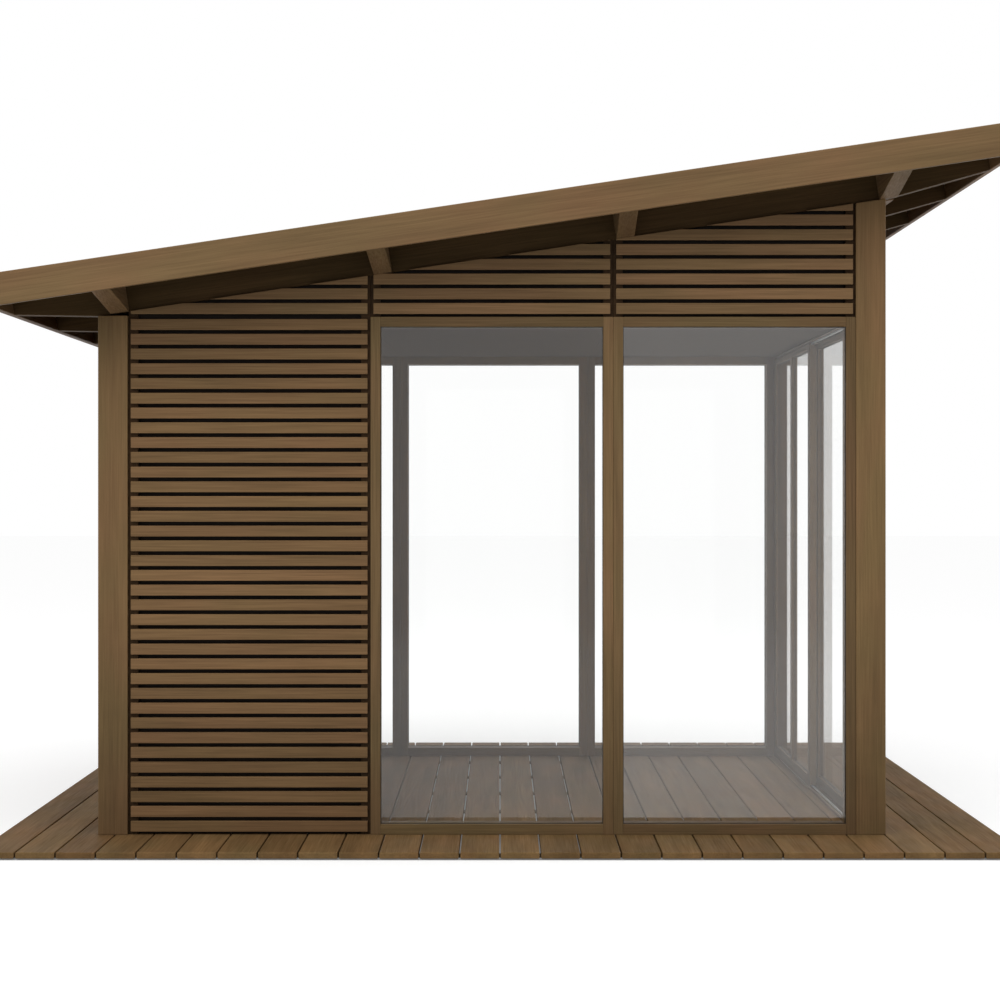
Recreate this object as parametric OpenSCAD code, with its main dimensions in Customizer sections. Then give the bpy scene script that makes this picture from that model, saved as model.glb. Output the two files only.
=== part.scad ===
// Glass garden pavilion: a timber deck, four posts, walls of three bays and a mono-pitch roof.
// Millimetres, +Z up. The origin is under the centre of the deck, level with the ground.
// The front gable wall faces -Y, and the roof rises towards +X.

/* [Deck] */
// Distance between the centre lines of two deck boards
deck_pitch = 156.4; // [120:0.2:190]
// Open joint between two deck boards
deck_joint = 6.4; // [3:0.2:12]
// Thickness of a deck board
deck_board_t = 24; // [18:1:40]
// Height of the bearers under the boards
deck_bearer_h = 6; // [4:1:60]
// Width of a deck bearer
deck_bearer_w = 70; // [40:5:120]
// Number of bearers across the deck
deck_bearer_count = 7; // [4:1:12]
// Bearer ends are set back this far from the deck's edge
deck_bearer_inset = 60; // [20:5:150]
// Deck beyond the front wall
deck_front = 440; // [430:5:900]
// Deck beyond the back wall
deck_back = 525; // [430:5:900]
// Deck beyond each side wall
deck_side = 430; // [425:5:900]

/* [Walls] */
// Overall width of the walls, over the posts
wall_w = 3200; // [2600:10:4200]
// Overall depth of the walls, over the posts
wall_d = 2800; // [2200:10:3600]
// Height of the wall frames above the deck
frame_h = 2105; // [1900:5:2600]
// The walls stand this far right of the deck's centre
wall_shift = -33; // [-40:1:40]
// Bays between the posts of the front and back walls
gable_bays = 3; // [2:1:5]
// Bays between the posts of the low side wall
side_bays = 2; // [1:1:4]
// Side of a square post
post_w = 120; // [90:5:160]

/* [Frames] */
// Face width of a frame's stiles and top rail
stile_w = 40; // [30:1:60]
// Face width of a frame's bottom rail
sill_h = 43; // [30:1:70]
// Depth of a frame, through the wall
frame_d = 100; // [70:5:110]
// Frames are set back this far from the posts' outer face
frame_recess = 4; // [0:1:20]
// Glass is set back this far from a frame's outer face
glass_recess = 17; // [8:1:40]
// Thickness of the glass
glass_t = 8; // [4:1:28]
// The glass reaches this far into a groove in its frame
glass_bite = 12; // [6:1:18]
// Gap between the edge of a pane and its groove, all round
glass_gap = 0.3; // [0.2:0.1:0.6]

/* [Cladding] */
// Height of a cladding slat
slat_h = 44; // [30:1:60]
// Open gap between two slats
slat_gap = 16; // [8:1:24]
// Thickness of a slat
slat_t = 20; // [12:1:30]
// The lowest slat starts this far above the deck or the frame below it
slat_foot = 12; // [6:1:30]
// Slats stop this far from a post or another panel
slat_end_gap = 12; // [4:1:20]
// Width of the upright battens that carry the slats
batten_w = 39; // [25:1:60]
// Thickness of the upright battens
batten_t = 26; // [15:1:30]
// Thickness of the lining boards behind the battens
lining_t = 36; // [18:1:50]

/* [Sliding door] */
// Depth of one door leaf, through the wall
leaf_t = 34; // [30:1:48]
// Width of a leaf's stiles, seen from its face
leaf_stile_w = 60; // [40:2:90]
// Height of a leaf's bottom rail
leaf_foot_h = 46; // [30:2:120]
// Height of a leaf's top rail
leaf_top_h = 26; // [24:2:90]
// Number of lights in the fixed leaf
fixed_lights = 2; // [1:1:4]
// Number of lights in the sliding leaf
sliding_lights = 1; // [1:1:4]
// Clearance beside and above a sliding leaf
leaf_clear = 6; // [5:0.5:10]
// Height of the sill and of the head that hold the tracks
track_h = 12; // [8:1:60]
// Height of a track rib above the sill
rib_h = 8; // [5:1:15]
// Width of a track rib
rib_w = 6; // [4:1:12]
// Gap between the sliding leaf and its tracks
rib_gap = 0.3; // [0.2:0.1:1]

/* [Roof] */
// Slope of the roof
pitch_deg = 8.45; // [6:0.05:12]
// Gap between the low side's wall frames and the rafters, at the posts' outer face
low_clear = 4.5; // [3:0.5:40]
// Width of a rafter or cross beam
rafter_w = 74; // [45:1:100]
// Height of a rafter or cross beam
rafter_h = 160; // [140:1:200]
// Number of rafters, from the front posts to the back posts
rafter_count = 4; // [3:1:6]
// Roof beyond the side walls
eave_out = 412; // [300:2:420]
// Roof beyond the front wall
gable_out_front = 397; // [300:1:420]
// Roof beyond the back wall
gable_out_back = 482; // [300:1:600]
// Thickness of the edge boards
fascia_t = 25; // [18:1:40]
// Height of the edge boards
fascia_h = 127; // [110:1:180]
// Thickness of the boards on the rafters
roof_board_t = 18; // [12:1:30]
// Thickness of the roof covering
cover_t = 3; // [2:1:10]
// The edge boards stand this far above the covering
fascia_lip = 2; // [0:1:20]
// Thickness of the ceiling panel
ceiling_t = 12; // [8:1:30]

/* [Hidden] */
RAFTERS = [for (i = [1:rafter_count]) str("rafter_", i)];
BAYS = [for (i = [1:gable_bays]) i];
SLATTED_BAY = 1;
GLAZED_FRONT = [for (i = BAYS) if (i != SLATTED_BAY) i];
LOW_SIDE_BAYS = [for (i = [1:side_bays]) i];

// Deck, from the ground up
deck_boards_wide = round((wall_w + 2 * deck_side + deck_joint) / deck_pitch);
deck_w = deck_boards_wide * deck_pitch - deck_joint;
deck_d = deck_front + wall_d + deck_back;
deck_top = deck_bearer_h + deck_board_t;

// Walls, seen from above
wall_x0 = wall_shift - wall_w / 2;
wall_x1 = wall_shift + wall_w / 2;
wall_y0 = deck_front - deck_d / 2;
wall_y1 = wall_y0 + wall_d;
gable_span = wall_w - 2 * post_w;
side_span = wall_d - 2 * post_w;
gable_bay = gable_span / gable_bays;
side_bay = side_span / side_bays;
slatted_x = post_w + (SLATTED_BAY - 1) * gable_bay;

// Layers of a clad wall, inwards from the posts' outer face
batten_in = frame_recess + slat_t;
lining_in = batten_in + batten_t;
lining_out = lining_in + lining_t;
slat_pitch = slat_h + slat_gap;

// Joint between neighbouring pieces of a wall
joint = 0.4;

// Sliding door: the fixed leaf is inside, and the sliding leaf runs outside it
track_d = post_w - frame_recess;
fixed_in = post_w - leaf_t;
sliding_in = fixed_in - leaf_clear - leaf_t;
door_z0 = track_h + leaf_clear;
door_z1 = frame_h - track_h - leaf_clear;
leaf_h = door_z1 - door_z0;
leaf_len = (side_span + leaf_stile_w) / 2;
leaf_light_h = leaf_h - leaf_foot_h - leaf_top_h;
leaf_glass_in = (leaf_t - glass_t) / 2;
groove_w = rib_w + 2 * leaf_clear;
pane_grip = glass_bite - glass_gap;

// Roof, in a frame that is tilted about the rafters' underside on the deck's centre line
roof_rise = tan(pitch_deg);
rafter_level = frame_h + low_clear - roof_rise * wall_x0;
fascia_top = rafter_h + roof_board_t + cover_t + fascia_lip;
fascia_foot = fascia_top - fascia_h;
roof_u_mid = (fascia_foot + fascia_top) / 2 * roof_rise;
roof_half = (wall_w / 2 + eave_out) / cos(pitch_deg);
roof_u0 = roof_u_mid - roof_half;
roof_u1 = roof_u_mid + roof_half;
roof_y0 = wall_y0 - gable_out_front;
roof_y1 = wall_y1 + gable_out_back;
rafter_step = (wall_d - post_w) / (rafter_count - 1);
roof_air = 4000;

function slats_under(height) = ceil((height - slat_foot) / slat_pitch);
function rafter_y(i) = wall_y0 + post_w / 2 + (i - 1) * rafter_step;
function roof_z(x) = rafter_level + roof_rise * x;

// Height of the cladding over the wall frames, before it is cut off under the rafters
upper_h = roof_z(wall_x1) - frame_h;

// Places a wall: local x runs along it, local y runs inwards and z starts on the deck
module on_front() translate([wall_x0, wall_y0, deck_top]) children();
module on_back() translate([wall_x1, wall_y1, deck_top]) rotate([0, 0, 180]) children();
module on_low_side() translate([wall_x0, wall_y1, deck_top]) rotate([0, 0, -90]) children();
module on_high_side() translate([wall_x1, wall_y0, deck_top]) rotate([0, 0, 90]) children();

// Places the roof: local x runs up the slope and z is square to it
module on_roof() translate([0, 0, deck_top + rafter_level]) rotate([0, -pitch_deg, 0]) children();

// Cuts its children off along the rafters' underside
module under_rafters() {
    difference() {
        children();
        on_roof() translate([-roof_air, -roof_air, 0]) cube([2 * roof_air, 2 * roof_air, roof_air]);
    }
}

// A rectangular frame, open in the middle, with a groove for glass that lies in_y inside its face
module glazed_frame(len, height, depth, stile, foot, head, in_y) {
    difference() {
        cube([len, depth, height]);
        translate([stile, -depth, foot]) cube([len - 2 * stile, 3 * depth, height - foot - head]);
        translate([stile - glass_bite, in_y - glass_gap, foot - glass_bite])
            cube([
                len - 2 * stile + 2 * glass_bite,
                glass_t + 2 * glass_gap,
                height - foot - head + 2 * glass_bite
            ]);
    }
}

// The pane of a glazed frame
module pane(len, height, stile, foot, head, in_y) {
    translate([stile - pane_grip, in_y, foot - pane_grip])
        cube([len - 2 * stile + 2 * pane_grip, glass_t, height - foot - head + 2 * pane_grip]);
}

// Level slats on an upright batten at each end
module slat_panel(len, height) {
    count = slats_under(height);
    for (k = [0:count - 1])
        translate([slat_end_gap, frame_recess, slat_foot + k * slat_pitch])
            cube([len - 2 * slat_end_gap, slat_t, slat_h]);
    for (x = [joint, len - joint - batten_w])
        translate([x, batten_in, 0]) cube([batten_w, batten_t, height]);
}

module bay_frame(i) {
    translate([post_w + (i - 1) * gable_bay + joint, frame_recess, 0])
        glazed_frame(gable_bay - 2 * joint, frame_h, frame_d, stile_w, sill_h, stile_w, glass_recess);
}

module bay_glass(i) {
    translate([post_w + (i - 1) * gable_bay + joint, frame_recess, 0])
        pane(gable_bay - 2 * joint, frame_h, stile_w, sill_h, stile_w, glass_recess);
}

module deck_boards() {
    color("sienna")
        for (k = [0:deck_boards_wide - 1])
            translate([k * deck_pitch - deck_w / 2, -deck_d / 2, deck_bearer_h])
                cube([deck_pitch - deck_joint, deck_d, deck_board_t]);
}

module deck_bearers() {
    run = deck_d - 2 * deck_bearer_inset - deck_bearer_w;
    color("saddlebrown")
        for (k = [0:deck_bearer_count - 1])
            translate([
                deck_bearer_inset - deck_w / 2,
                deck_bearer_inset - deck_d / 2 + k * run / (deck_bearer_count - 1),
                0
            ])
                cube([deck_w - 2 * deck_bearer_inset, deck_bearer_w, deck_bearer_h]);
}

// A post on the low side, cut off level
module low_post(y) {
    color("peru")
        translate([wall_x0, y, deck_top]) cube([post_w, post_w, frame_h + low_clear]);
}

// A post on the high side, cut off along the slope
module high_post(y) {
    color("peru")
        under_rafters()
            translate([wall_x1 - post_w, y, deck_top]) cube([post_w, post_w, roof_z(wall_x1) + post_w]);
}

module front_slat_panel() {
    color("sienna")
        on_front() translate([slatted_x, 0, 0]) slat_panel(gable_bay, frame_h);
}

module front_lining() {
    color("black")
        on_front() translate([slatted_x, lining_in, 0]) cube([gable_bay, lining_t, frame_h]);
}

module front_frame(i) {
    color("sienna") on_front() bay_frame(i);
}

module front_glass(i) {
    color("lightblue", 0.3) on_front() bay_glass(i);
}

// Back bays are counted from the low side too, so they are taken in reverse along the wall
module back_frame(i) {
    color("sienna") on_back() bay_frame(gable_bays + 1 - i);
}

module back_glass(i) {
    color("lightblue", 0.3) on_back() bay_glass(gable_bays + 1 - i);
}

// Slats over the frames of a gable wall, in one length to each bay
module gable_slats() {
    for (i = BAYS)
        translate([post_w + (i - 1) * gable_bay, 0, frame_h]) slat_panel(gable_bay, upper_h);
}

module gable_lining() {
    translate([post_w, lining_in, frame_h]) cube([gable_span, lining_t, upper_h]);
}

module front_gable_slats() {
    color("sienna") under_rafters() on_front() gable_slats();
}

module front_gable_lining() {
    color("black") under_rafters() on_front() gable_lining();
}

module back_gable_slats() {
    color("sienna") under_rafters() on_back() gable_slats();
}

module back_gable_lining() {
    color("black") under_rafters() on_back() gable_lining();
}

module low_side_slat_panel(i) {
    color("sienna")
        on_low_side() translate([post_w + (i - 1) * side_bay, 0, 0]) slat_panel(side_bay, frame_h);
}

// The lining of the low side wall carries the rafters
module low_side_lining() {
    color("black")
        under_rafters()
            on_low_side() translate([post_w, lining_in, 0]) cube([side_span, lining_t, frame_h + post_w]);
}

// One rib stands under each leaf of the sliding door, and one hangs over it
module door_tracks() {
    color("silver")
        on_high_side()
            for (y = [fixed_in, sliding_in])
                for (z = [track_h, frame_h - track_h - rib_h])
                    translate([post_w, y + (leaf_t - rib_w) / 2, z]) cube([side_span, rib_w, rib_h]);
}

module door_sill() {
    color("saddlebrown")
        on_high_side() translate([post_w, frame_recess, 0]) cube([side_span, track_d, track_h]);
}

module door_head() {
    color("saddlebrown")
        on_high_side()
            translate([post_w, frame_recess, frame_h - track_h]) cube([side_span, track_d, track_h]);
}

// One box in each light of a door leaf, reaching past the light's four edges
module leaf_lights(count, bite, y, depth) {
    light_w = (leaf_len - (count + 1) * leaf_stile_w) / count;
    for (k = [0:count - 1])
        translate([leaf_stile_w + k * (light_w + leaf_stile_w) - bite, y, leaf_foot_h - bite])
            cube([light_w + 2 * bite, depth, leaf_light_h + 2 * bite]);
}

// A leaf that runs on a rib below and is guided by a rib above
module leaf_frame(count) {
    difference() {
        cube([leaf_len, leaf_t, leaf_h]);
        leaf_lights(count, 0, -leaf_t, 3 * leaf_t);
        leaf_lights(count, glass_bite, leaf_glass_in - glass_gap, glass_t + 2 * glass_gap);
        translate([-leaf_clear, (leaf_t - groove_w) / 2, -rib_h])
            cube([leaf_len + 2 * leaf_clear, groove_w, 2 * rib_h + rib_gap - leaf_clear]);
        translate([-leaf_clear, (leaf_t - groove_w) / 2, leaf_h - rib_h])
            cube([leaf_len + 2 * leaf_clear, groove_w, 2 * rib_h]);
    }
}

module leaf_glass(count) {
    leaf_lights(count, pane_grip, leaf_glass_in, glass_t);
}

module place_fixed_leaf() {
    on_high_side() translate([post_w + side_span - joint - leaf_len, fixed_in, door_z0]) children();
}

// The sliding leaf closes the half that the fixed one leaves open
module place_sliding_leaf() {
    on_high_side() translate([post_w + leaf_clear, sliding_in, door_z0]) children();
}

module fixed_leaf_frame() {
    color("peru") place_fixed_leaf() leaf_frame(fixed_lights);
}

module fixed_leaf_glass() {
    color("lightblue", 0.3) place_fixed_leaf() leaf_glass(fixed_lights);
}

module sliding_leaf_frame() {
    color("peru") place_sliding_leaf() leaf_frame(sliding_lights);
}

module sliding_leaf_glass() {
    color("lightblue", 0.3) place_sliding_leaf() leaf_glass(sliding_lights);
}

module high_side_slats() {
    color("sienna")
        under_rafters()
            on_high_side() translate([post_w, 0, frame_h]) slat_panel(side_span, upper_h);
}

module high_side_lining() {
    color("black")
        under_rafters()
            on_high_side()
                translate([post_w, lining_in, frame_h]) cube([side_span, lining_t, upper_h]);
}

// A level ceiling on the wall frames, inside the linings and notched around the posts
module ceiling_panel() {
    color("gainsboro")
        translate([0, 0, deck_top + frame_h])
            difference() {
                translate([wall_x0 + lining_out, wall_y0 + lining_out, 0])
                    cube([wall_w - 2 * lining_out, wall_d - 2 * lining_out, ceiling_t]);
                for (x = [wall_x0, wall_x1 - post_w])
                    for (y = [wall_y0, wall_y1 - post_w])
                        translate([x, y, -ceiling_t]) cube([post_w, post_w, 3 * ceiling_t]);
            }
}

// A rafter is full height between the walls, and tapers to the edge boards beyond them
module rafter(i) {
    color("saddlebrown")
        on_roof()
            translate([0, rafter_y(i) + rafter_w / 2, 0])
                rotate([90, 0, 0])
                    linear_extrude(rafter_w)
                        polygon([
                            [roof_u0 + fascia_t, fascia_foot],
                            [wall_x0 / cos(pitch_deg), 0],
                            [wall_x1 / cos(pitch_deg), 0],
                            [roof_u1 - fascia_t, fascia_foot],
                            [roof_u1 - fascia_t, rafter_h],
                            [roof_u0 + fascia_t, rafter_h]
                        ]);
}

// The outline of a cross beam along the building, from edge board to edge board
module cross_beam_outline() {
    polygon([
        [roof_y0 + fascia_t, fascia_foot],
        [wall_y0, 0],
        [wall_y1, 0],
        [roof_y1 - fascia_t, fascia_foot],
        [roof_y1 - fascia_t, rafter_h],
        [roof_y0 + fascia_t, rafter_h]
    ]);
}

// Cross beams are cut in between the rafters
module cross_beams() {
    side_u = (wall_w - rafter_w) / 2;
    inner_u = gable_bay / 2;
    color("saddlebrown")
        on_roof()
            difference() {
                for (u = [-side_u, -inner_u, inner_u, side_u])
                    translate([roof_u_mid + (u - rafter_w / 2) / cos(pitch_deg), 0, 0])
                        rotate([90, 0, 90])
                            linear_extrude(rafter_w) cross_beam_outline();
                for (i = [1:rafter_count])
                    translate([roof_u0, rafter_y(i) - rafter_w / 2, -rafter_h])
                        cube([2 * roof_half, rafter_w, 3 * rafter_h]);
            }
}

module gable_fascia(y) {
    color("peru")
        on_roof() translate([roof_u0, y, fascia_foot]) cube([2 * roof_half, fascia_t, fascia_h]);
}

module eave_fascia(u) {
    color("peru")
        on_roof()
            translate([u, roof_y0 + fascia_t, fascia_foot])
                cube([fascia_t, roof_y1 - roof_y0 - 2 * fascia_t, fascia_h]);
}

// A layer of the roof, inside the edge boards
module roof_layer(z, thickness) {
    on_roof()
        translate([roof_u0 + fascia_t, roof_y0 + fascia_t, z])
            cube([2 * (roof_half - fascia_t), roof_y1 - roof_y0 - 2 * fascia_t, thickness]);
}

module fascia_front() {
    gable_fascia(roof_y0);
}

module fascia_back() {
    gable_fascia(roof_y1 - fascia_t);
}

module fascia_low() {
    eave_fascia(roof_u0);
}

module fascia_high() {
    eave_fascia(roof_u1 - fascia_t);
}

module roof_boards() {
    color("saddlebrown") roof_layer(rafter_h, roof_board_t);
}

module roof_covering() {
    color("dimgray") roof_layer(rafter_h + roof_board_t, cover_t);
}

deck_boards();
deck_bearers();
low_post(wall_y0);  // post_front_low
high_post(wall_y0);  // post_front_high
low_post(wall_y1 - post_w);  // post_back_low
high_post(wall_y1 - post_w);  // post_back_high
front_slat_panel();
front_lining();
for (i = GLAZED_FRONT) front_frame(i);
for (i = GLAZED_FRONT) front_glass(i);
for (i = BAYS) back_frame(i);
for (i = BAYS) back_glass(i);
front_gable_slats();
front_gable_lining();
back_gable_slats();
back_gable_lining();
for (i = LOW_SIDE_BAYS) low_side_slat_panel(i);
low_side_lining();
door_sill();
door_head();
door_tracks();
fixed_leaf_frame();
fixed_leaf_glass();
sliding_leaf_frame();
sliding_leaf_glass();
high_side_slats();
high_side_lining();
ceiling_panel();
for (i = [1:rafter_count]) rafter(i);
cross_beams();
fascia_front();
fascia_back();
fascia_low();
fascia_high();
roof_boards();
roof_covering();
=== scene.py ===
"""Finish and studio for a glass garden pavilion, built around its fixed frame."""

import logging
import math
import random
from dataclasses import dataclass, field
from enum import Enum
from typing import Callable, Iterable, Sequence

import bmesh
import bpy
from mathutils import Matrix, Vector


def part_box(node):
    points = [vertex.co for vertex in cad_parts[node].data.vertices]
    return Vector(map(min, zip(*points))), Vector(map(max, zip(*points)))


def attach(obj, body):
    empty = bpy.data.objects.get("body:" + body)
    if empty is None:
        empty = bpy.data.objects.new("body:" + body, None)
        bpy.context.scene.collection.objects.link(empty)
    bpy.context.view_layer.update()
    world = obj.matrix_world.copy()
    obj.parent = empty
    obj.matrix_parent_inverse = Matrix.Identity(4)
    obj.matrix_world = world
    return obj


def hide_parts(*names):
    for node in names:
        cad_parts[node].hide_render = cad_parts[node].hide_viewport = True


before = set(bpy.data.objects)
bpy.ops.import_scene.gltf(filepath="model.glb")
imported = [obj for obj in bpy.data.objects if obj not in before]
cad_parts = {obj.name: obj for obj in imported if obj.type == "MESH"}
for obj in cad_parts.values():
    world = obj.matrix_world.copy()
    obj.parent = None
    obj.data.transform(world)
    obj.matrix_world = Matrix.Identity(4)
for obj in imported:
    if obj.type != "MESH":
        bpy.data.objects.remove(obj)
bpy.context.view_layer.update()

LOG = logging.getLogger("pavilion")
BUILDING = "building"
LEAF = "sliding_leaf"
BOARD_LAYER = "board"
Colour = tuple[float, float, float]
Socket = bpy.types.NodeSocket


def srgb(red: int, green: int, blue: int) -> Colour:
    """Turn a screen colour into the linear one that shaders use.

    Args:
        red: Red, from 0 to 255.
        green: Green, from 0 to 255.
        blue: Blue, from 0 to 255.

    Returns:
        The linear colour.
    """

    def linear(value: int) -> float:
        """Undo the screen's curve for one channel."""
        share = value / 255
        return share / 12.92 if share <= 0.04045 else ((share + 0.055) / 1.055) ** 2.4

    return linear(red), linear(green), linear(blue)


class Grain(Enum):
    """The direction in which a board's grain runs."""

    X = "x"
    Y = "y"
    Z = "z"
    SLOPE = "slope"


@dataclass(frozen=True)
class Site:
    """The main lines of the building, read from the fixed frame."""

    deck_top: float
    frame_top: float
    low_x: float
    high_x: float
    front_y: float
    back_y: float
    post: float
    pitch: float
    rafter_z: float

    @classmethod
    def from_frame(cls) -> "Site":
        """Read the posts, the deck and the ceiling.

        Returns:
            The site.
        """
        low, low_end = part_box("post_front_low")
        high_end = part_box("post_back_high")[1]
        rise = (high_end[2] - low_end[2]) / (high_end[0] - low[0])
        return cls(
            deck_top=low[2],
            frame_top=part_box("ceiling_panel")[0][2],
            low_x=low[0],
            high_x=high_end[0],
            front_y=low[1],
            back_y=high_end[1],
            post=low_end[0] - low[0],
            pitch=math.atan(rise),
            rafter_z=low_end[2] - rise * low[0],
        )

    @property
    def roof(self) -> Matrix:
        """Give the roof's own frame, with X up the slope and Z square to it."""
        return Matrix.Translation((0, 0, self.rafter_z)) @ Matrix.Rotation(-self.pitch, 4, "Y")

    @property
    def roof_normal(self) -> Vector:
        """Give the direction square to the roof."""
        return Vector((-math.sin(self.pitch), 0, math.cos(self.pitch)))


SITE = Site.from_frame()


@dataclass(frozen=True)
class Wall:
    """A wall's own frame: x runs along it, y runs inwards and z starts on the deck."""

    place: Matrix
    grain: Grain
    length: float

    @property
    def clear(self) -> float:
        """Give the length between its corner posts."""
        return self.length - 2 * SITE.post

    @classmethod
    def front(cls) -> "Wall":
        """Give the front gable wall."""
        place = Matrix.Translation((SITE.low_x, SITE.front_y, SITE.deck_top))
        return cls(place, Grain.X, SITE.high_x - SITE.low_x)

    @classmethod
    def back(cls) -> "Wall":
        """Give the back gable wall, which runs from the high side to the low side."""
        place = Matrix.Translation((SITE.high_x, SITE.back_y, SITE.deck_top))
        return cls(place @ Matrix.Rotation(math.pi, 4, "Z"), Grain.X, SITE.high_x - SITE.low_x)

    @classmethod
    def low_side(cls) -> "Wall":
        """Give the clad side wall under the low edge of the roof."""
        place = Matrix.Translation((SITE.low_x, SITE.back_y, SITE.deck_top))
        return cls(place @ Matrix.Rotation(-math.pi / 2, 4, "Z"), Grain.Y, SITE.back_y - SITE.front_y)

    @classmethod
    def high_side(cls) -> "Wall":
        """Give the side wall with the sliding door."""
        place = Matrix.Translation((SITE.high_x, SITE.front_y, SITE.deck_top))
        return cls(place @ Matrix.Rotation(math.pi / 2, 4, "Z"), Grain.Y, SITE.back_y - SITE.front_y)


# ---------------------------------------------------------------- shader helpers

# How far the figure moves from board to board, so that no two boards look alike.
BOARD_JUMP, SHIFT_JUMP = 13.7, 5.1
# How finely each noise is drawn, along the grain and across it.
FIGURE_STRETCH, GRAIN_STRETCH = (1.1, 15.0, 15.0), (3.5, 170.0, 170.0)
PATCH_STRETCH, SMEAR_STRETCH = (2.2, 5.0, 5.0), (2.0, 2.0, 0.7)
# The part of each noise that is stretched to the whole range.
FIGURE_SPAN, GRAIN_SPAN, PATCH_SPAN, TONE_SPAN = (0.28, 0.72), (0.25, 0.75), (0.35, 0.65), (0.3, 0.7)
FOOT_SHADE_SPAN, DUST_SPAN, SMEAR_SPAN = (0.15, 1.2), (0.45, 0.75), (0.45, 0.8)
# How much of a board's hue comes from the slow drift, and how much is its own.
PATCH_SHARE, BOARD_SHARE = 0.65, 0.35
# How much of a sheet's mottling is broad, and how much is fine.
BROAD_SHARE, FINE_SHARE = 0.75, 0.25
# How high the painted shade that darkens timber towards the deck reaches, and how deep the reliefs are.
FOOT_SHADE_REACH, WOOD_RELIEF, SHEET_RELIEF = 1.0, 0.0008, 0.0004
WOOD_INDEX = 1.45
# How far roughness goes up and down with the grain, with dust and with mottling.
GRAIN_ROUGH, GRAIN_SMOOTH, DUST_ROUGH, MOTTLE_ROUGH = 0.1, 0.08, 0.08, 0.08
# The hue of smeared glass, the roughness of its smears, and what its shadow lets through.
SMEAR_TINT, SMEAR_ROUGH, SHADOW_TINT = 0.996, 0.02, (0.94, 0.95, 0.945, 1.0)
# A face that points along a board's axis within this cosine is no eased edge.
FLAT_FACE = 0.995


class Nodes:
    """A short hand for placing and linking nodes in one tree."""

    def __init__(self, tree: bpy.types.NodeTree) -> None:
        """Keep the tree.

        Args:
            tree: The node tree to build in.
        """
        self.tree = tree

    def add(
        self, kind: str, inputs: dict[str | int, object] | None = None, **settings: object
    ) -> bpy.types.Node:
        """Add a node, set its properties and fill or link its inputs.

        Args:
            kind: The node's type name.
            inputs: Values or output sockets, by input name or number.
            settings: Node properties.

        Returns:
            The new node.
        """
        node = self.tree.nodes.new(kind)
        for key, value in settings.items():
            setattr(node, key, value)
        self.fill(node, inputs or {})
        return node

    def fill(self, node: bpy.types.Node, inputs: dict[str | int, object]) -> None:
        """Fill a node's inputs, or link them, by name or number."""
        for key, value in inputs.items():
            if isinstance(value, Socket):
                self.tree.links.new(value, node.inputs[key])
            else:
                node.inputs[key].default_value = value

    def maths(self, operation: str, first: object, second: object = 0.0) -> Socket:
        """Work out a sum or product of two values, and give its socket."""
        return self.add("ShaderNodeMath", {0: first, 1: second}, operation=operation).outputs[0]

    def remap(self, value: object, low: float, high: float, start: float = 0.0, end: float = 1.0) -> Socket:
        """Stretch a value from start..end to low..high, and give its socket."""
        inputs = {"Value": value, "From Min": start, "From Max": end, "To Min": low, "To Max": high}
        return self.add("ShaderNodeMapRange", inputs).outputs["Result"]

    def blend(self, share: object, first: Colour, second: Colour) -> Socket:
        """Mix two colours, and give the result's socket."""
        inputs = {0: share, 6: (*first, 1.0), 7: (*second, 1.0)}
        return self.add("ShaderNodeMix", inputs, data_type="RGBA", blend_type="MIX").outputs[2]

    def noise(self, vector: object, scale: float, detail: float = 2.0, roughness: float = 0.5) -> Socket:
        """Add a noise texture, and give its value."""
        inputs = {"Vector": vector, "Scale": scale, "Detail": detail, "Roughness": roughness}
        return self.add("ShaderNodeTexNoise", inputs).outputs["Fac"]

    def stretch(self, vector: object, scale: Sequence[float]) -> Socket:
        """Scale a vector, and give the result."""
        inputs = {0: vector, 1: tuple(scale)}
        return self.add("ShaderNodeVectorMath", inputs, operation="MULTIPLY").outputs[0]


def new_group(name: str, takes: dict[str, str], gives: dict[str, str]) -> bpy.types.NodeTree:
    """Start a shader node group with its sockets.

    Args:
        name: The group's name.
        takes: Input names and the kinds of their sockets.
        gives: Output names and the kinds of their sockets.

    Returns:
        The empty group.
    """
    group = bpy.data.node_groups.new(name, "ShaderNodeTree")
    for way, sockets in (("INPUT", takes), ("OUTPUT", gives)):
        for label, kind in sockets.items():
            group.interface.new_socket(name=label, in_out=way, socket_type=f"NodeSocket{kind}")
    return group


def wood_figure_group() -> bpy.types.NodeTree:
    """Build the group that draws a board's figure, fine grain and slow drift of hue.

    Returns:
        The group.
    """
    group = new_group(
        "wood_figure",
        {"Vector": "Vector", "Board": "Float", "Shift": "Float"},
        {"Figure": "Float", "Grain": "Float", "Patch": "Float"},
    )
    n = Nodes(group)
    source = n.add("NodeGroupInput").outputs
    across = n.maths("MULTIPLY", source["Board"], BOARD_JUMP)
    down = n.maths("MULTIPLY", source["Shift"], SHIFT_JUMP)
    jump = n.add("ShaderNodeCombineXYZ", {0: across, 1: down, 2: source["Board"]}).outputs[0]
    place = n.add("ShaderNodeVectorMath", {0: source["Vector"], 1: jump}, operation="ADD").outputs[0]
    figure = n.noise(n.stretch(place, FIGURE_STRETCH), 1.0, 3.0, 0.55)
    grain = n.noise(n.stretch(place, GRAIN_STRETCH), 1.0, 3.0, 0.6)
    patch = n.noise(n.stretch(place, PATCH_STRETCH), 1.0, 1.0)
    n.add(
        "NodeGroupOutput",
        {
            "Figure": n.remap(figure, 0.0, 1.0, *FIGURE_SPAN),
            "Grain": n.remap(grain, 0.0, 1.0, *GRAIN_SPAN),
            "Patch": n.remap(patch, 0.0, 1.0, *PATCH_SPAN),
        },
    )
    return group


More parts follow.
